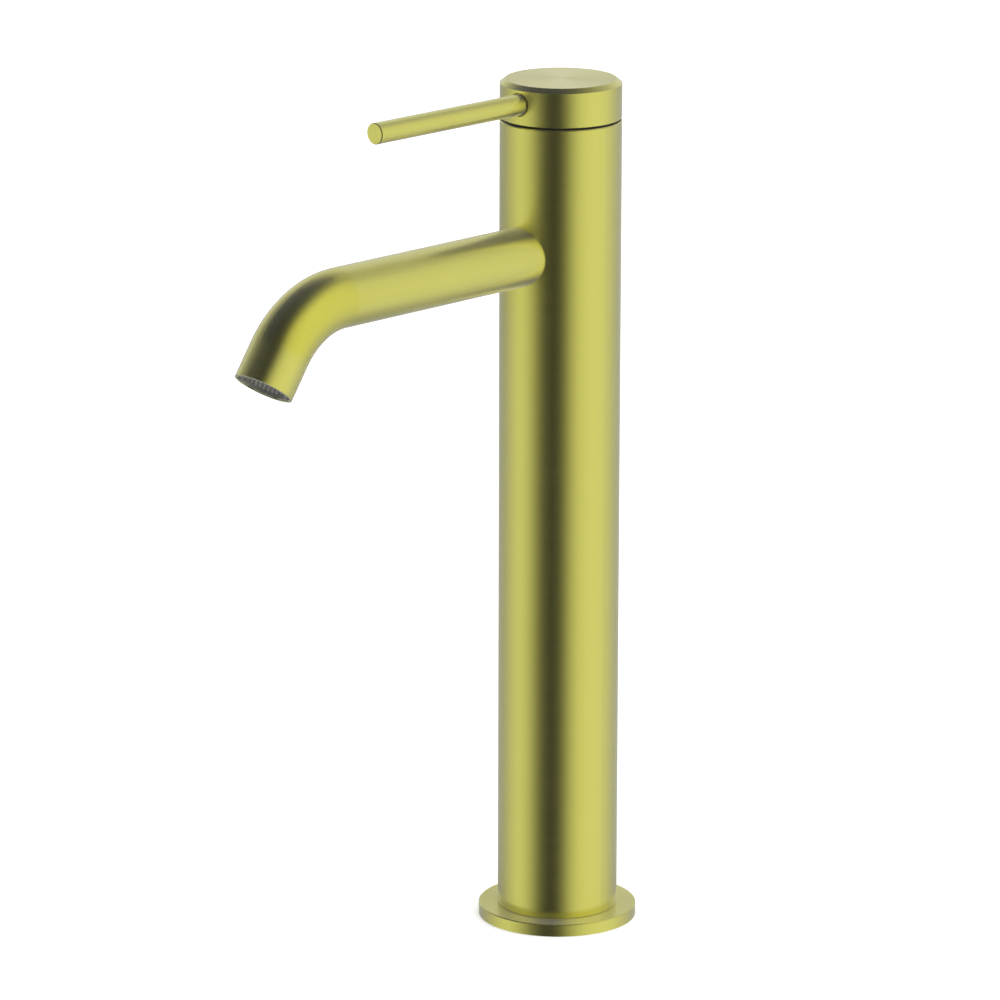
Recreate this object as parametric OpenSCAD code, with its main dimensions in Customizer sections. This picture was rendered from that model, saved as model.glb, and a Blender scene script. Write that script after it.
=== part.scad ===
// Bathroom mixer faucet: tall single-lever basin mixer with a bent tubular spout.
// The frame stands on the column axis at deck level. +Z is up.
// The spout and the lever point along -Y, hot water is on the -X side.
// All lengths are in millimetres.

/* [Column] */
// Outside diameter of the column
column_d = 42; // [41.5:0.1:44]
// Height of the column's top rim above the deck
rim_z = 285.3; // [280:0.1:300]

/* [Base] */
// Diameter of the base flange
flange_d = 55.3; // [54:0.1:64]
// Thickness of the base flange
flange_h = 4.3; // [3.5:0.1:6]

/* [Spout] */
// Outside diameter of the spout tube
spout_d = 20.6; // [20.4, 20.6, 20.7, 20.8]
// Wall thickness of the spout tube
spout_wall = 1.8; // [1.7, 1.8, 1.9, 2]
// Distance of the spout axis below the column's rim
spout_drop = 45.15; // [44.5:0.05:50]
// Distance from the column axis to the start of the bend
spout_straight = 106.9; // [80:0.1:140]
// Centre-line radius of the bend
bend_r = 33.8; // [28:0.1:45]
// Angle of the bend below the horizontal
bend_angle = 55.09; // [30, 40, 52.5, 55.09, 65, 70]
// Straight length after the bend
spout_tail = 12.7; // [12:0.1:30]

/* [Handle] */
// Height of the gap between the column and the handle cap
seam_gap = 0.8; // [0.7:0.05:1]
// Height of the handle cap
cap_h = 13.4; // [13.2:0.1:15]
// Width of the chamfer around the cap's top
cap_chamfer_w = 1.9; // [0.5:0.1:3]
// Height of the chamfer around the cap's top
cap_chamfer_h = 1.5; // [0.5:0.1:2.5]
// Diameter of the lever rod
lever_d = 7.3; // [6.6:0.1:7.6]
// Distance from the column axis to the lever's tip
lever_reach = 90; // [60:0.5:120]
// Distance of the lever's axis above the cap's lower edge
lever_rise = 7; // [6.8:0.1:7.4]

/* [Supply] */
// Thread diameter of the two water inlets
inlet_d = 10; // [8:0.1:10.2]
// Depth of the inlet threads
inlet_depth = 12; // [8:0.5:12.5]
// Thread diameter of the two fixing-stud holes
stud_d = 6; // [4:0.1:6.4]
// Depth of the fixing-stud holes
stud_depth = 14; // [8:0.5:18]
// Outside diameter of the riser pipes
riser_d = 10; // [9:0.1:10.2]
// Wall thickness of the riser pipes
riser_wall = 1; // [0.6:0.1:1.5]

/* [View] */

/* [Hidden] */
$fn = 96;
column_r = column_d / 2;
column_bore_r = 17.7;
thread_bore_r = 18.5;
flange_r = flange_d / 2;
spout_r = spout_d / 2;
spout_bore_r = spout_r - spout_wall;
spout_z = rim_z - spout_drop;
lever_r = lever_d / 2;

// Handle: everything under the cap clears spheres around the tilt axis
cap_z = rim_z + seam_gap;
top_z = cap_z + cap_h;
lever_z = cap_z + lever_rise;
pivot_z = rim_z - 10.6;
rim_chamfer = 0.3;
cap_edge_chamfer = 0.2;
rim_sphere_r = norm([column_r, rim_z - rim_chamfer - pivot_z]);
cover_sphere_r = rim_sphere_r - 0.2;
cap_sphere_r = rim_sphere_r + 0.15;
cover_top_z = pivot_z + 14;
boss_r = 6.5;
boss_z = pivot_z + 15;
block_z = pivot_z + 14.35;
stem_w = 6.4;
stem_top_z = lever_z + 2.8;
lever_hole_r = lever_r + 0.5;
lever_hole_depth = 2.4;
lever_thread_r = 3;
grub_r = 2.5;
plug_r = 3;

// Cartridge stack, measured down from the tilt axis
neck_top_z = pivot_z + 6.1;
shoulder_z = pivot_z - 0.2;
rotor_top_z = neck_top_z + 0.6;
rotor_flange_top_z = shoulder_z - 3.3;
rotor_bottom_z = pivot_z - 6.3;
carrier_top_z = rotor_bottom_z - 0.3;
ball_r = 2.2;
ball_z = pivot_z - 8.6;
stem_neck_r = 1.6;
carrier_z = pivot_z - 11.9;
fixed_disc_top_z = carrier_z - 3.5;
fixed_disc_z = fixed_disc_top_z - 3.5;
base_spigot_z = fixed_disc_z - 0.8;
base_top_z = base_spigot_z - 0.5;
seat_z = pivot_z - 22.2;
cartridge_r = 17.4;
cartridge_bore_r = 15.6;
neck_r = 13.8;
rotor_r = 11.9;
rotor_bore_r = 12;
pin_r = 1.5;
pin_half_length = 11.5;
closed_offset = 1.5;

// Water ways
port_x = 7.5;
port_y = -5.5;
duct_r = 3.1;
outlet_port_y = 8.5;
outlet_port_r = 3.5;
valve_bottom_z = spout_z - 19.15;
socket_depth = 7.5;
block_h = 22;
block_r = 17.65;
stud_y = 12.2;
ring_section_r = 0.7;

// Aerator, measured along the spout's outlet axis
mouth_r = 9.3;
mouth_depth = 10;
aerator_recess = 0.2;
aerator_h = 6;
aerator_r = mouth_r - 0.05;
aerator_bore_r = 7.7;
lattice_recess = 0.9;

// ---------- shared shapes ----------

module tube(outer_r, inner_r, z0, z1) {
    translate([0, 0, z0])
        difference() {
            cylinder(r = outer_r, h = z1 - z0);
            translate([0, 0, -1])
                cylinder(r = inner_r, h = z1 - z0 + 2);
        }
}

module rod(r, z0, z1) {
    translate([0, 0, z0])
        cylinder(r = r, h = z1 - z0);
}

module o_ring(centre_r, section_r) {
    rotate_extrude()
        translate([centre_r, 0])
            circle(r = section_r, $fn = 32);
}

// Copies its children to the hot and the cold water way
module at_both_ports() {
    for (side = [-1, 1])
        translate([side * port_x, port_y, 0])
            children();
}

// Rod along -Y at a given height, from y0 out to y1
module rod_along_y(r, z, y0, y1) {
    translate([0, y0, z])
        rotate([90, 0, 0])
            cylinder(r = r, h = y0 - y1);
}

// Puts +Z along the outflow, with the origin at the spout's mouth
module at_mouth() {
    translate([0, -spout_straight, spout_z - bend_r])
        rotate([bend_angle, 0, 0])
            translate([0, -spout_tail, bend_r])
                rotate([90, 0, 0])
                    children();
}

// Solid bar that follows the spout's centre line
module spout_bar(r, y0, tail_end) {
    rod_along_y(r, spout_z, y0, -spout_straight);
    translate([0, -spout_straight, spout_z - bend_r])
        rotate([0, -90, 180])
            rotate_extrude(angle = bend_angle)
                translate([bend_r, 0])
                    circle(r = r);
    at_mouth()
        rod(r, -spout_tail, tail_end);
}

// ---------- base and column ----------

module base_flange() {
    color("#b9b266")
        difference() {
            rotate_extrude()
                polygon([
                    [block_r + 0.1, 0],
                    [flange_r, 0],
                    [flange_r, flange_h - 0.25],
                    [flange_r - 0.25, flange_h],
                    [block_r + 0.1, flange_h]
                ]);
            tube(25, 21.5, -1, 1.6);
        }
}

module base_gasket() {
    color("#222222")
        tube(24.95, 21.55, 0, 1.55);
}

module column_tube() {
    color("#b9b266")
        difference() {
            rotate_extrude()
                polygon([
                    [column_bore_r, flange_h],
                    [column_r - 0.2, flange_h],
                    [column_r, flange_h + 0.2],
                    [column_r, rim_z - rim_chamfer],
                    [column_r - rim_chamfer, rim_z],
                    [thread_bore_r, rim_z],
                    [thread_bore_r, shoulder_z - 1],
                    [column_bore_r, shoulder_z - 1]
                ]);
            rod_along_y(spout_r + 0.03, spout_z, 0, -column_r - 5);
        }
}

module inlet_block() {
    color("#c9a24a")
        difference() {
            rod(block_r, 0, block_h);
            at_both_ports() {
                rod(inlet_d / 2, -1, inlet_depth);
                rod(duct_r, 0, block_h);
                rod(riser_d / 2 + 0.05, block_h - socket_depth, block_h + 1);
                rod(riser_d / 2 + 2 * ring_section_r, block_h - 4.8, block_h - 3.2);
            }
            for (side = [-1, 1])
                translate([0, side * stud_y, 0])
                    rod(stud_d / 2, -1, stud_depth);
        }
}

module riser_pipe(side) {
    translate([side * port_x, port_y, 0])
        tube(
            riser_d / 2,
            riser_d / 2 - riser_wall,
            block_h - socket_depth + 0.3,
            valve_bottom_z + socket_depth - 0.3
        );
}

module hot_riser_pipe() {
    color("#b87333")
        riser_pipe(-1);
}

module cold_riser_pipe() {
    color("#b87333")
        riser_pipe(1);
}

module riser_o_rings() {
    color("#1b1b1b")
        at_both_ports()
            for (z = [block_h - 4, valve_bottom_z + 4])
                translate([0, 0, z])
                    o_ring(riser_d / 2 + ring_section_r, ring_section_r);
}

// ---------- valve body and spout ----------

module valve_body() {
    color("#c9a24a")
        difference() {
            rod(block_r, valve_bottom_z, seat_z);
            at_both_ports() {
                rod(duct_r, valve_bottom_z - 1, seat_z + 1);
                rod(riser_d / 2 + 0.05, valve_bottom_z - 1, valve_bottom_z + socket_depth);
                rod(riser_d / 2 + 2 * ring_section_r, valve_bottom_z + 3.2, valve_bottom_z + 4.8);
            }
            rod_along_y(spout_r + 0.03, spout_z, -11.5, -30);
            translate([-2.9, -12, spout_z - 7])
                cube([5.8, outlet_port_y + 12 + 2.9, 14]);
            translate([0, outlet_port_y, 0])
                rod(outlet_port_r, spout_z, seat_z + 1);
        }
}

module spout_tube() {
    color("#b9b266")
        difference() {
            spout_bar(spout_r, -11.6, 0);
            spout_bar(spout_bore_r, -11, 1);
            at_mouth()
                rod(mouth_r, -mouth_depth, 1);
        }
}

module aerator_gasket() {
    color("#1b1b1b")
        at_mouth()
            tube(aerator_r, aerator_bore_r, -mouth_depth, -mouth_depth + 1.4);
}

module aerator_filter() {
    color("#8d9294")
        at_mouth()
            difference() {
                union() {
                    rod(aerator_bore_r - 0.3, -mouth_depth + 0.1, -mouth_depth + 2.6);
                    rod(aerator_r - 0.2, -mouth_depth + 1.4, -mouth_depth + 2.6);
                }
                rod(aerator_bore_r - 1.3, -mouth_depth + 0.9, -mouth_depth + 3);
                for (x = [-4.5:1.5:4.5])
                    for (y = [-4.5:1.5:4.5])
                        if (x * x + y * y < 26)
                            translate([x, y, 0])
                                rod(0.4, -mouth_depth, -mouth_depth + 1);
            }
}

module aerator_housing() {
    color("#8d9294")
        at_mouth()
            difference() {
                rod(aerator_r, -aerator_recess - aerator_h, -aerator_recess);
                rod(aerator_bore_r, -aerator_recess - aerator_h - 1, 1);
                for (a = [18:60:318])
                    rotate([0, 0, a])
                        translate([aerator_bore_r + 0.4, -1.2, -aerator_recess - 1.4])
                            cube([3, 2.4, 3]);
            }
}

// Square grid of bars across the aerator's outlet
module lattice() {
    intersection() {
        circle(r = aerator_bore_r - 0.3);
        union() {
            for (i = [-4:4])
                translate([i * 1.5 - 0.22, -8])
                    square([0.44, 16]);
            for (i = [-4:4])
                translate([-8, i * 1.5 - 0.22])
                    square([16, 0.44]);
        }
    }
}

module aerator_insert() {
    color("#8d9294")
        at_mouth() {
            rotate([0, 0, 45])
                translate([0, 0, -aerator_recess - lattice_recess - 1.2])
                    linear_extrude(height = 1.2)
                        lattice();
            tube(
                aerator_bore_r - 0.05,
                aerator_bore_r - 0.65,
                -aerator_recess - aerator_h,
                -aerator_recess - 0.5
            );
        }
}

// ---------- cartridge ----------

module cartridge_base() {
    color("#e8e4d8")
        difference() {
            union() {
                rod(cartridge_r, seat_z, base_top_z);
                rod(cartridge_bore_r - 0.1, seat_z, base_spigot_z);
            }
            at_both_ports() {
                rod(duct_r, seat_z - 1, base_spigot_z + 1);
                rod(duct_r + 1.5, seat_z - 1, seat_z + 0.8);
                rod(duct_r + 1.3, base_spigot_z - 0.8, base_spigot_z + 1);
            }
            translate([0, outlet_port_y, 0]) {
                rod(outlet_port_r, seat_z - 1, base_spigot_z + 1);
                rod(outlet_port_r + 1.5, seat_z - 1, seat_z + 0.8);
                rod(outlet_port_r + 1.3, base_spigot_z - 0.8, base_spigot_z + 1);
            }
        }
}

module cartridge_base_seals() {
    color("#1b1b1b") {
        at_both_ports()
            tube(duct_r + 1.4, duct_r + 0.1, seat_z, seat_z + 0.75);
        translate([0, outlet_port_y, 0])
            tube(outlet_port_r + 1.4, outlet_port_r + 0.1, seat_z, seat_z + 0.75);
    }
}

module port_seals() {
    color("#1b1b1b") {
        at_both_ports()
            tube(duct_r + 1.2, duct_r, base_spigot_z - 0.8, fixed_disc_z);
        translate([0, outlet_port_y, 0])
            tube(outlet_port_r + 1.2, outlet_port_r, base_spigot_z - 0.8, fixed_disc_z);
    }
}

module fixed_ceramic_disc() {
    color("#f2f0ea")
        difference() {
            rod(15.4, fixed_disc_z, fixed_disc_top_z);
            at_both_ports()
                rod(2.6, fixed_disc_z - 1, fixed_disc_top_z + 1);
            translate([0, outlet_port_y, 0])
                rod(outlet_port_r, fixed_disc_z - 1, fixed_disc_top_z + 1);
        }
}

module cartridge_housing() {
    color("#e8e4d8")
        rotate_extrude()
            polygon([
                [cartridge_bore_r, base_top_z],
                [cartridge_r, base_top_z],
                [cartridge_r, shoulder_z],
                [neck_r, shoulder_z],
                [neck_r, neck_top_z],
                [rotor_bore_r, neck_top_z],
                [rotor_bore_r, shoulder_z - 3],
                [cartridge_bore_r, shoulder_z - 3]
            ]);
}

module cartridge_nut() {
    color("#c9a24a")
        difference() {
            tube(thread_bore_r - 0.05, neck_r + 0.1, shoulder_z, shoulder_z + 4.5);
            for (a = [0:90:270])
                rotate([0, 0, a])
                    translate([neck_r - 1, -2, shoulder_z + 3])
                        cube([6, 4, 3]);
        }
}

module cover_ring() {
    color("#26261f")
        difference() {
            union() {
                rod(thread_bore_r - 0.05, shoulder_z + 5.2, rim_z + 1);
                intersection() {
                    translate([0, 0, pivot_z])
                        sphere(r = cover_sphere_r);
                    rod(column_r, rim_z, cover_top_z);
                }
            }
            rod(15.4, shoulder_z, cover_top_z + 1);
            tube(column_r, thread_bore_r - 2 * ring_section_r, rim_z - 3.3, rim_z - 1.7);
        }
}

module cover_ring_seal() {
    color("#1b1b1b")
        translate([0, 0, rim_z - 2.5])
            o_ring(thread_bore_r - ring_section_r, ring_section_r);
}

module cartridge_rotor() {
    color("#d8d4c6")
        difference() {
            union() {
                rod(rotor_r, rotor_bottom_z, rotor_top_z);
                rod(14.9, rotor_bottom_z, rotor_flange_top_z);
                for (side = [-1, 1])
                    translate([side * 10.8 - 1, -5, carrier_z + 0.6])
                        cube([2, 10, carrier_top_z - carrier_z + 1]);
            }
            translate([-3.5, -6.6, rotor_bottom_z - 1])
                cube([7, 13, 20]);
            translate([-pin_half_length, 0, pivot_z])
                rotate([0, 90, 0])
                    cylinder(r = pin_r, h = 2 * pin_half_length);
        }
}

module stem_pivot_pin() {
    color("#9a9da0")
        translate([-pin_half_length, 0, pivot_z])
            rotate([0, 90, 0])
                cylinder(r = pin_r, h = 2 * pin_half_length);
}

module moving_ceramic_disc() {
    color("#f2f0ea")
        difference() {
            translate([0, closed_offset, 0])
                rod(13, fixed_disc_top_z + 0.02, carrier_z);
            translate([-8.5, -2.1, fixed_disc_top_z - 1])
                cube([17, 14, 2.8]);
            for (side = [-1, 1])
                translate([side * 6.5, -6, 0])
                    rod(1.3, carrier_z - 1.2, carrier_z + 1);
        }
}

module disc_carrier() {
    color("#3d5a78")
        difference() {
            union() {
                intersection() {
                    translate([0, closed_offset, 0])
                        rod(11.3, carrier_z, carrier_top_z);
                    translate([-9.4, -15, carrier_z])
                        cube([18.8, 30, 10]);
                }
                for (side = [-1, 1])
                    translate([side * 6.5, -6, 0])
                        rod(1.25, carrier_z - 1.1, carrier_z + 1);
            }
            translate([-ball_r - 0.3, -ball_r - 0.3, ball_z - ball_r - 0.3])
                cube([2 * ball_r + 0.6, 2 * ball_r + 0.6, 10]);
        }
}

// ---------- handle ----------

module lever_stem() {
    color("#9a9da0")
        difference() {
            union() {
                translate([-stem_w / 2, -stem_w / 2, pivot_z - 3.5])
                    cube([stem_w, stem_w, stem_top_z - pivot_z + 3.5]);
                rod(stem_neck_r, ball_z, pivot_z);
                translate([0, 0, ball_z])
                    sphere(r = ball_r);
            }
            translate([-5, 0, pivot_z])
                rotate([0, 90, 0])
                    cylinder(r = pin_r + 0.05, h = 10);
        }
}

module handle_cap() {
    color("#b9b266")
        difference() {
            union() {
                difference() {
                    rotate_extrude()
                        polygon([
                            [0, cap_z],
                            [column_r - cap_edge_chamfer, cap_z],
                            [column_r, cap_z + cap_edge_chamfer],
                            [column_r, top_z - cap_chamfer_h],
                            [column_r - cap_chamfer_w, top_z],
                            [0, top_z]
                        ]);
                    translate([0, 0, pivot_z])
                        sphere(r = cap_sphere_r);
                }
                rod(boss_r, boss_z, top_z - 0.6);
                translate([-boss_r, -column_r + 2.2, block_z])
                    cube([2 * boss_r, column_r - 2.2, top_z - 0.6 - block_z]);
            }
            translate([-stem_w / 2 - 0.05, -stem_w / 2 - 0.05, block_z - 1])
                cube([stem_w + 0.1, stem_w + 0.1, stem_top_z - block_z + 1.1]);
            rod_along_y(lever_hole_r, lever_z, -column_r + lever_hole_depth, -column_r - 5);
            rod_along_y(lever_thread_r, lever_z, -7.5, -column_r);
            rod_along_y(grub_r, lever_z, boss_r + 1, stem_w / 2 - 1);
            rod_along_y(plug_r, lever_z, column_r + 5, boss_r + 1);
        }
}

module lever_rod() {
    color("#b9b266") {
        rod_along_y(lever_r, lever_z, -column_r + lever_hole_depth, -lever_reach + 0.25);
        rod_along_y(lever_thread_r - 0.03, lever_z, -8, -column_r + 1);
        translate([0, -lever_reach + 0.25, lever_z])
            rotate([90, 0, 0])
                cylinder(r1 = lever_r, r2 = lever_r - 0.25, h = 0.25);
    }
}

module handle_grub_screw() {
    color("#77797c")
        difference() {
            rod_along_y(grub_r - 0.03, lever_z, 8, stem_w / 2);
            translate([0, 9, lever_z])
                rotate([90, 0, 0])
                    cylinder(r = 1.44, h = 3.5, $fn = 6);
        }
}

module grub_hole_plug() {
    color("#b9b266")
        difference() {
            rod_along_y(plug_r - 0.02, lever_z, column_r, column_r - 2.8);
            rod_along_y(plug_r - 0.9, lever_z, column_r - 1.2, column_r - 3);
            difference() {
                rod_along_y(plug_r + 1, lever_z, column_r + 1, column_r - 1);
                translate([0, 0, lever_z - 5])
                    cylinder(r = column_r, h = 10);
            }
        }
}

// ---------- assembly ----------

base_flange();
base_gasket();
column_tube();
inlet_block();
hot_riser_pipe();
cold_riser_pipe();
riser_o_rings();
valve_body();
spout_tube();
aerator_gasket();
aerator_filter();
aerator_insert();
aerator_housing();
cartridge_base();
cartridge_base_seals();
port_seals();
fixed_ceramic_disc();
cartridge_housing();
cartridge_nut();
cover_ring();
cover_ring_seal();
cartridge_rotor();
stem_pivot_pin();
moving_ceramic_disc();
disc_carrier();
lever_stem();
handle_cap();
lever_rod();
handle_grub_screw();
grub_hole_plug();
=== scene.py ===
"""Bathroom mixer faucet: finishes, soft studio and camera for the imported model."""
import math

import bpy
from mathutils import Matrix, Vector


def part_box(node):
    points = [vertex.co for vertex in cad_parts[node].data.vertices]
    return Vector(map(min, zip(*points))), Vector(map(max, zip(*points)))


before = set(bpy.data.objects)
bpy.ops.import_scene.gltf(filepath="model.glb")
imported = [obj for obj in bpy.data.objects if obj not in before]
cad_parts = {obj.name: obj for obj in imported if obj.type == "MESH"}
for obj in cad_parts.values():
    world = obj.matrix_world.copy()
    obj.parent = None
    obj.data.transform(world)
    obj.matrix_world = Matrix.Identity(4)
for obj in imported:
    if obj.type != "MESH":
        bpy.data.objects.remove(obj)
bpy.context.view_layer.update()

MM = 0.001


def corners(node):
    """Lowest and highest corner of a CAD node, as vectors."""
    low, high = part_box(node)
    return Vector(low), Vector(high)


# ---------- measures taken from the frame ----------

spout_low, spout_high = corners("spout_tube")
lever_low, lever_high = corners("lever_rod")
SPOUT_Z = spout_high.z - (spout_high.x - spout_low.x) / 2
LEVER_Z = (lever_high.z + lever_low.z) / 2
# The spout's centre line bends down from here, round a circle of this radius and through this angle
BEND_START_Y = -106.9 * MM
BEND_R = 33.8 * MM
BEND_ANGLE = math.radians(55.09)


# ---------- node helpers ----------

class Nodes:
    """A material's node tree, with short calls to add and link nodes."""

    def __init__(self, name):
        self.material = bpy.data.materials.new(name)
        self.material.use_nodes = True
        self.tree = self.material.node_tree
        self.tree.nodes.clear()
        self.output = self.tree.nodes.new("ShaderNodeOutputMaterial")
        self.shader = self.tree.nodes.new("ShaderNodeBsdfPrincipled")
        self.link(self.shader.outputs["BSDF"], self.output.inputs["Surface"])

    def add(self, kind, **settings):
        node = self.tree.nodes.new("ShaderNode" + kind)
        for key, value in settings.items():
            setattr(node, key, value)
        return node

    def link(self, source, target):
        self.tree.links.new(source, target)

    def feed(self, target, value):
        """Links an output, or sets a plain value."""
        if isinstance(value, bpy.types.NodeSocket):
            self.link(value, target)
        else:
            target.default_value = value

    def math(self, operation, a, b=0.0):
        node = self.add("Math", operation=operation)
        self.feed(node.inputs[0], a)
        self.feed(node.inputs[1], b)
        return node.outputs[0]

    def vector(self, operation, a, b=(0, 0, 0)):
        node = self.add("VectorMath", operation=operation)
        self.feed(node.inputs[0], a)
        self.feed(node.inputs[1], b)
        return node.outputs["Value" if operation == "DOT_PRODUCT" else "Vector"]

    def combine(self, x, y, z):
        node = self.add("CombineXYZ")
        for target, value in zip(node.inputs, (x, y, z)):
            self.feed(target, value)
        return node.outputs["Vector"]

    def position(self):
        return self.add("TexCoord").outputs["Object"]

    def noise(self, vector, scale, detail=2.0, roughness=0.5, w=None):
        node = self.add("TexNoise", noise_dimensions="3D" if w is None else "4D")
        self.link(vector, node.inputs["Vector"])
        node.inputs["Scale"].default_value = scale
        node.inputs["Detail"].default_value = detail
        node.inputs["Roughness"].default_value = roughness
        if w is not None:
            self.link(w, node.inputs["W"])
        return node.outputs["Fac"]

    def spread(self, value, low, high, to_low, to_high):
        """Maps low..high onto to_low..to_high, clamped."""
        node = self.add("MapRange")
        self.link(value, node.inputs["Value"])
        for name, number in zip(("From Min", "From Max", "To Min", "To Max"), (low, high, to_low, to_high)):
            node.inputs[name].default_value = number
        return node.outputs["Result"]

    def mix_colour(self, factor, a, b):
        node = self.add("Mix", data_type="RGBA")
        self.feed(node.inputs["Factor"], factor)
        self.feed(node.inputs["A"], a)
        self.feed(node.inputs["B"], b)
        return node.outputs["Result"]

    def bump(self, height, strength, distance):
        node = self.add("Bump")
        node.inputs["Strength"].default_value = strength
        node.inputs["Distance"].default_value = distance
        self.link(height, node.inputs["Height"])
        self.link(node.outputs["Normal"], self.shader.inputs["Normal"])


def colour(red, green, blue):
    return (red, green, blue, 1.0)


def grey(level):
    return colour(level, level, level)


# ---------- finishes ----------

GOLD = colour(0.79, 0.755, 0.095)
GOLD_DEEP = colour(0.75, 0.715, 0.080)
# Paler yellow used as a painted highlight on sharp convex edges
GOLD_EDGE_HIGHLIGHT = colour(0.86, 0.84, 0.30)
# Noise cycles per metre along and across the brushed scratches
SCRATCH_ALONG = 26.0
SCRATCH_ACROSS = 2600.0


def turned_grain(n, axis, height):
    """Scratches round the Z axis, or round a Y axis at the given height, and the way they run."""
    place = n.vector("SUBTRACT", n.position(), (0.0, 0.0, height))
    if axis == "Z":
        stretch, flat = (SCRATCH_ALONG, SCRATCH_ALONG, SCRATCH_ACROSS), (1.0, 1.0, 0.0)
    else:
        stretch, flat = (SCRATCH_ALONG, SCRATCH_ACROSS, SCRATCH_ALONG), (1.0, 0.0, 1.0)
    radius = n.add("VectorMath", operation="LENGTH")
    n.link(n.vector("MULTIPLY", place, flat), radius.inputs[0])
    ring = n.math("MULTIPLY", radius.outputs["Value"], SCRATCH_ACROSS)
    scratches = n.noise(n.vector("MULTIPLY", place, stretch), 1.0, 3.0, 0.6, ring)
    return scratches, n.add("Tangent", direction_type="RADIAL", axis=axis).outputs["Tangent"]


def spout_grain(n):
    """Scratches round the spout's bent centre line, and the way they run."""
    parts = n.add("SeparateXYZ")
    n.link(n.position(), parts.inputs["Vector"])
    ahead = n.math("SUBTRACT", BEND_START_Y, parts.outputs["Y"])
    above = n.math("SUBTRACT", parts.outputs["Z"], SPOUT_Z - BEND_R)
    angle = n.math("MINIMUM", n.math("MAXIMUM", n.math("ARCTAN2", ahead, above), 0.0), BEND_ANGLE)
    sine, cosine = n.math("SINE", angle), n.math("COSINE", angle)
    out = n.math("SUBTRACT", ahead, n.math("MULTIPLY", sine, BEND_R))
    up = n.math("SUBTRACT", above, n.math("MULTIPLY", cosine, BEND_R))
    beyond = n.math("SUBTRACT", n.math("MULTIPLY", out, cosine), n.math("MULTIPLY", up, sine))
    along = n.math("ADD", n.math("MULTIPLY", angle, BEND_R), beyond)
    offset = n.math("ADD", n.math("MULTIPLY", out, sine), n.math("MULTIPLY", up, cosine))
    local = n.combine(parts.outputs["X"], along, offset)
    stretch = (SCRATCH_ALONG, SCRATCH_ACROSS, SCRATCH_ALONG)
    scratches = n.noise(n.vector("MULTIPLY", local, stretch), 1.0, 3.0, 0.6)
    centre_line = n.combine(0.0, n.math("MULTIPLY", cosine, -1.0), n.math("MULTIPLY", sine, -1.0))
    return scratches, n.vector("CROSS_PRODUCT", centre_line, n.add("NewGeometry").outputs["Normal"])


def brushed_gold(name, grain, *settings):
    """Brushed gold, with fine scratches that run the way the piece was turned, and a painted highlight on
    sharp edges.
    """
    n = Nodes(name)
    s = n.shader
    s.inputs["Metallic"].default_value = 1.0
    s.inputs["Anisotropic"].default_value = 0.75
    s.inputs["Sheen Weight"].default_value = 0.45
    s.inputs["Sheen Roughness"].default_value = 0.52
    s.inputs["Sheen Tint"].default_value = colour(1.0, 1.0, 0.95)
    scratches, direction = grain(n, *settings)
    n.link(direction, s.inputs["Tangent"])
    cloud = n.noise(n.position(), 28.0, 3.0, 0.55)
    # Painted highlight: sharp convex edges (by Pointiness) are mixed up to 35% towards a paler yellow
    edge_glint = n.spread(n.add("NewGeometry").outputs["Pointiness"], 0.505, 0.56, 0.0, 0.35)
    mixed = n.math("ADD", n.math("MULTIPLY", scratches, 0.6), n.math("MULTIPLY", cloud, 0.4))
    base = n.mix_colour(n.spread(mixed, 0.3, 0.7, 0.0, 1.0), GOLD_DEEP, GOLD)
    n.link(n.mix_colour(edge_glint, base, GOLD_EDGE_HIGHLIGHT), s.inputs["Base Color"])
    n.link(n.spread(scratches, 0.3, 0.7, 0.235, 0.265), s.inputs["Roughness"])
    n.bump(scratches, 0.032, 0.01 * MM)
    return n.material


def machined_metal(name, light, dark, roughness):
    """Turned or cast metal of the inner pieces: tool marks round Z and slight stains."""
    n = Nodes(name)
    n.shader.inputs["Metallic"].default_value = 1.0
    place = n.position()
    marks = n.noise(n.vector("MULTIPLY", place, (60.0, 60.0, 2200.0)), 1.0, 3.0, 0.6)
    stain = n.noise(place, 120.0, 4.0, 0.6)
    n.link(n.mix_colour(n.spread(stain, 0.35, 0.7, 0.0, 1.0), light, dark), n.shader.inputs["Base Color"])
    n.link(n.spread(marks, 0.3, 0.7, roughness - 0.06, roughness + 0.08), n.shader.inputs["Roughness"])
    n.bump(marks, 0.25, 0.03 * MM)
    return n.material


def moulded_plastic(name, light, dark, roughness, specular=0.5):
    """Moulded plastic, rubber or ceramic: a fine skin texture and slight colour drift."""
    n = Nodes(name)
    n.shader.inputs["Specular IOR Level"].default_value = specular
    place = n.position()
    skin = n.noise(place, 3600.0, 3.0, 0.6)
    drift = n.noise(place, 108.0, 3.0, 0.5)
    n.link(n.mix_colour(n.spread(drift, 0.3, 0.7, 0.0, 1.0), light, dark), n.shader.inputs["Base Color"])
    n.link(n.spread(skin, 0.3, 0.7, roughness - 0.05, roughness + 0.07), n.shader.inputs["Roughness"])
    n.bump(skin, 0.2, 0.02 * MM)
    return n.material


def paint(material, *nodes):
    """Puts the material on every slot of the named CAD nodes."""
    for name in nodes:
        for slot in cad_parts[name].material_slots:
            slot.material = material


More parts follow.
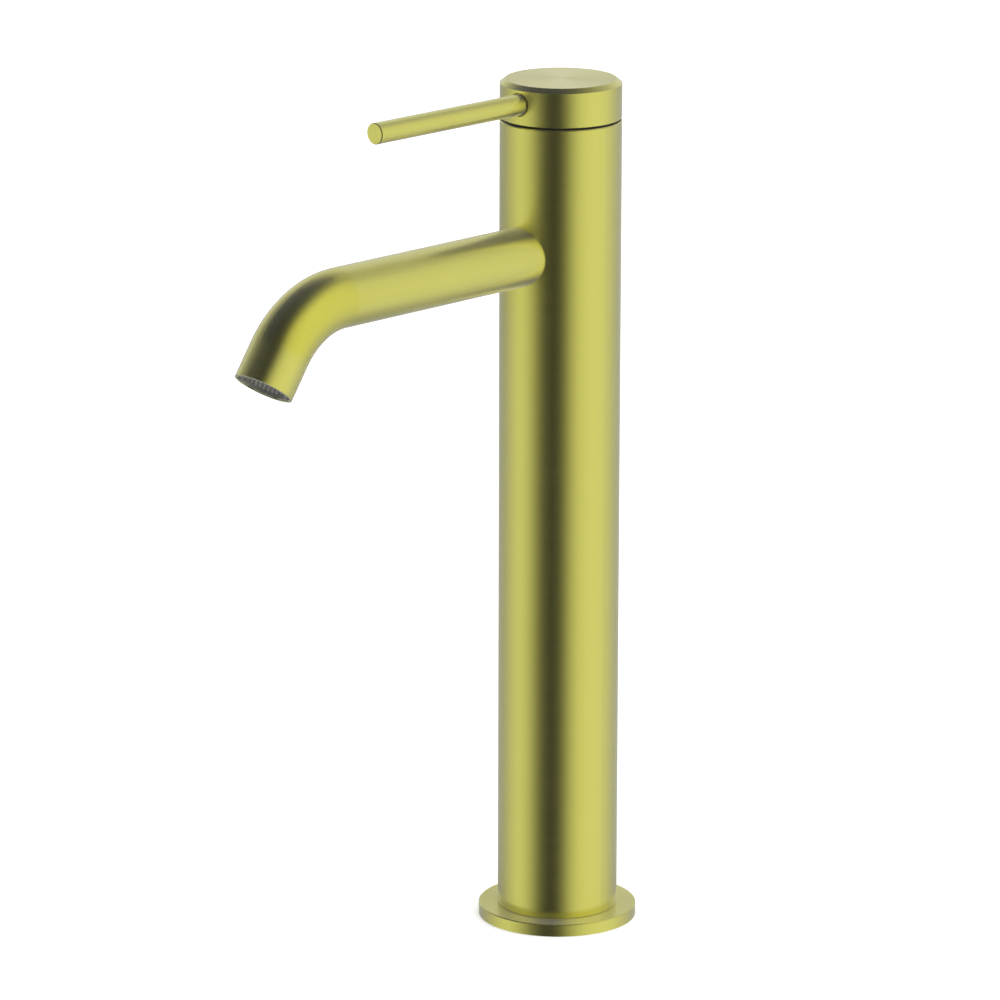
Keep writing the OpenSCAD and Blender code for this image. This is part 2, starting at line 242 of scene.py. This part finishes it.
paint(brushed_gold("gold_column", turned_grain, "Z", 0.0), "column_tube", "base_flange", "handle_cap")
paint(brushed_gold("gold_spout", spout_grain), "spout_tube")
paint(brushed_gold("gold_lever", turned_grain, "Y", LEVER_Z), "lever_rod", "grub_hole_plug")
paint(
    machined_metal("cast_brass", colour(0.72, 0.53, 0.24), colour(0.52, 0.35, 0.14), 0.34),
    "inlet_block", "valve_body", "cartridge_nut",
)
paint(
    machined_metal("copper_pipe", colour(0.80, 0.42, 0.25), colour(0.58, 0.27, 0.15), 0.30),
    "hot_riser_pipe", "cold_riser_pipe",
)
paint(
    machined_metal("stainless_steel", colour(0.62, 0.62, 0.60), colour(0.48, 0.48, 0.47), 0.28),
    "lever_stem", "stem_pivot_pin", "handle_grub_screw",
)
paint(
    moulded_plastic("ceramic", colour(0.90, 0.89, 0.85), colour(0.84, 0.83, 0.78), 0.15),
    "fixed_ceramic_disc", "moving_ceramic_disc",
)
paint(
    moulded_plastic("cream_plastic", colour(0.80, 0.77, 0.68), colour(0.74, 0.70, 0.60), 0.45),
    "cartridge_base", "cartridge_housing", "cartridge_rotor",
)
paint(
    moulded_plastic("grey_plastic", colour(0.20, 0.20, 0.175), colour(0.15, 0.15, 0.13), 0.40),
    "aerator_filter", "aerator_insert", "aerator_housing",
)
paint(
    moulded_plastic("blue_plastic", colour(0.06, 0.14, 0.26), colour(0.05, 0.11, 0.21), 0.45),
    "disc_carrier",
)
# The cover ring is near-black, which also paints the shade of the cap seam as a dark line
paint(
    moulded_plastic("dark_plastic", colour(0.020, 0.019, 0.014), colour(0.013, 0.012, 0.010), 0.5, 0.3),
    "cover_ring",
)
paint(
    moulded_plastic("black_rubber", grey(0.022), grey(0.014), 0.7, 0.3),
    "base_gasket", "riser_o_rings", "aerator_gasket", "cartridge_base_seals", "port_seals", "cover_ring_seal",
)


# ---------- floor ----------

def make_floor():
    """Pale floor that the metal doesn't mirror."""
    half = 3.0
    mesh = bpy.data.meshes.new("floor")
    plan = [(-half, -half, 0), (half, -half, 0), (half, half, 0), (-half, half, 0)]
    mesh.from_pydata(plan, [], [(0, 1, 2, 3)])
    floor = bpy.data.objects.new("floor", mesh)
    bpy.context.scene.collection.objects.link(floor)
    n = Nodes("pale_floor")
    speck = n.noise(n.position(), 60.0, 4.0, 0.6)
    n.link(n.mix_colour(speck, grey(0.93), grey(0.96)), n.shader.inputs["Base Color"])
    n.shader.inputs["Roughness"].default_value = 0.9
    n.shader.inputs["Specular IOR Level"].default_value = 0.1
    mesh.materials.append(n.material)
    floor.visible_glossy = False


make_floor()


# ---------- camera ----------

# The camera looks at the column axis from this azimuth, elevation and distance, then pans and rolls (radians)
AZIMUTH = math.radians(43.33)
ELEVATION = math.radians(14.892)
DISTANCE = 2153.7 * MM
TARGET_Z = 150.4 * MM
PAN = -0.009517
ROLL = 0.004899
LENS = 223.21


def make_camera():
    side, ahead = math.sin(AZIMUTH), math.cos(AZIMUTH)
    level, rise = math.cos(ELEVATION), math.sin(ELEVATION)
    forward = Vector((-side * level, ahead * level, -rise))
    right = Vector((ahead, side, 0.0))
    up = right.cross(forward)
    forward, right = (
        forward * math.cos(PAN) + right * math.sin(PAN),
        right * math.cos(PAN) - forward * math.sin(PAN),
    )
    right, up = (
        right * math.cos(ROLL) + up * math.sin(ROLL),
        up * math.cos(ROLL) - right * math.sin(ROLL),
    )
    place = Matrix((right, up, -forward)).transposed().to_4x4()
    place.translation = Vector((
        DISTANCE * level * side,
        -DISTANCE * level * ahead,
        TARGET_Z + DISTANCE * rise,
    ))
    data = bpy.data.cameras.new("camera")
    data.sensor_width = 36.0
    data.lens = LENS
    data.clip_end = 20.0
    camera = bpy.data.objects.new("camera", data)
    camera.matrix_world = place
    bpy.context.scene.collection.objects.link(camera)
    bpy.context.scene.camera = camera


make_camera()


# ---------- studio light ----------

# Brightness of the studio walls by compass bearing from the camera, in degrees to its right
WALLS = (
    (-180, 0.42), (-166, 0.20), (-159, 0.12), (-128, 0.30), (-103, 0.55), (-81, 0.78), (-63, 0.66),
    (-48, 0.38), (-34, 0.08), (-18, 0.00), (-2, 0.00), (8, 0.12), (22, 0.48), (36, 0.74), (65, 0.82),
    (84, 0.78), (100, 0.68), (120, 0.45), (150, 0.18), (166, 0.20), (180, 0.42),
)
BACK_WALL = 0.62
# Brightness of the ceiling and the ground
DARK = 0.01


def make_studio():
    """White backdrop for the camera; everything else sees soft walls, a dark ceiling and a dark ground."""
    world = bpy.data.worlds.new("studio")
    bpy.context.scene.world = world
    world.use_nodes = True
    tree = world.node_tree
    tree.nodes.clear()

    def add(kind, **settings):
        node = tree.nodes.new("ShaderNode" + kind)
        for key, value in settings.items():
            setattr(node, key, value)
        return node

    link = tree.links.new

    def fade(value, none, full):
        node = add("MapRange", interpolation_type="SMOOTHSTEP")
        link(value, node.inputs["Value"])
        node.inputs["From Min"].default_value = none
        node.inputs["From Max"].default_value = full
        return node.outputs["Result"]

    direction = add("TexCoord").outputs["Generated"]
    turned = add("VectorRotate", rotation_type="Z_AXIS")
    turned.inputs["Angle"].default_value = -AZIMUTH
    link(direction, turned.inputs["Vector"])
    parts = add("SeparateXYZ")
    link(turned.outputs["Vector"], parts.inputs["Vector"])
    back = add("Math", operation="MULTIPLY")
    link(parts.outputs["Y"], back.inputs[0])
    back.inputs[1].default_value = -1.0
    bearing = add("Math", operation="ARCTAN2")
    link(parts.outputs["X"], bearing.inputs[0])
    link(back.outputs[0], bearing.inputs[1])
    fraction = add("MapRange")
    link(bearing.outputs[0], fraction.inputs["Value"])
    fraction.inputs["From Min"].default_value = -math.pi
    fraction.inputs["From Max"].default_value = math.pi
    walls = add("ValToRGB")
    walls.color_ramp.interpolation = "EASE"
    stops = walls.color_ramp.elements
    while len(stops) > 1:
        stops.remove(stops[-1])
    for i, (degrees, level) in enumerate(WALLS):
        stop = stops[0] if i == 0 else stops.new((degrees + 180) / 360)
        stop.position = (degrees + 180) / 360
        stop.color = grey(level)
    link(fraction.outputs["Result"], walls.inputs["Fac"])
    lit = add("Math", operation="MULTIPLY")
    link(fade(parts.outputs["Y"], 0.35, 0.80), lit.inputs[0])
    link(fade(parts.outputs["Z"], -0.05, 0.15), lit.inputs[1])
    room = add("Mix", data_type="RGBA")
    link(lit.outputs[0], room.inputs["Factor"])
    link(walls.outputs["Color"], room.inputs["A"])
    room.inputs["B"].default_value = grey(BACK_WALL)
    # The dark ceiling comes down lower on the left than on the right
    lean = add("Math", operation="MULTIPLY_ADD")
    link(parts.outputs["X"], lean.inputs[0])
    lean.inputs[1].default_value = -0.35
    link(parts.outputs["Z"], lean.inputs[2])
    ceiling = fade(lean.outputs[0], 0.98, 0.48)
    ground = fade(parts.outputs["Z"], -0.95, -0.60)
    open_part = add("Math", operation="MULTIPLY")
    link(ceiling, open_part.inputs[0])
    link(ground, open_part.inputs[1])
    dome = add("Mix", data_type="RGBA")
    link(open_part.outputs[0], dome.inputs["Factor"])
    dome.inputs["A"].default_value = grey(DARK)
    link(room.outputs["Result"], dome.inputs["B"])
    seen = add("Mix", data_type="RGBA")
    link(add("LightPath").outputs["Is Camera Ray"], seen.inputs["Factor"])
    link(dome.outputs["Result"], seen.inputs["A"])
    seen.inputs["B"].default_value = grey(1.0)
    background = add("Background")
    link(seen.outputs["Result"], background.inputs["Color"])
    background.inputs["Strength"].default_value = 1.0
    output = add("OutputWorld")
    link(background.outputs["Background"], output.inputs["Surface"])


def make_floor_light():
    """Wide soft box overhead that whitens the floor and leaves no glare on the metal."""
    data = bpy.data.lights.new("floor_light", "AREA")
    data.shape = "DISK"
    data.size = 12.0
    data.energy = 640.0
    light = bpy.data.objects.new("floor_light", data)
    light.location = (0.0, 0.0, 4.0)
    light.visible_glossy = False
    bpy.context.scene.collection.objects.link(light)


make_studio()
make_floor_light()
bpy.context.scene.view_settings.view_transform = "Standard"
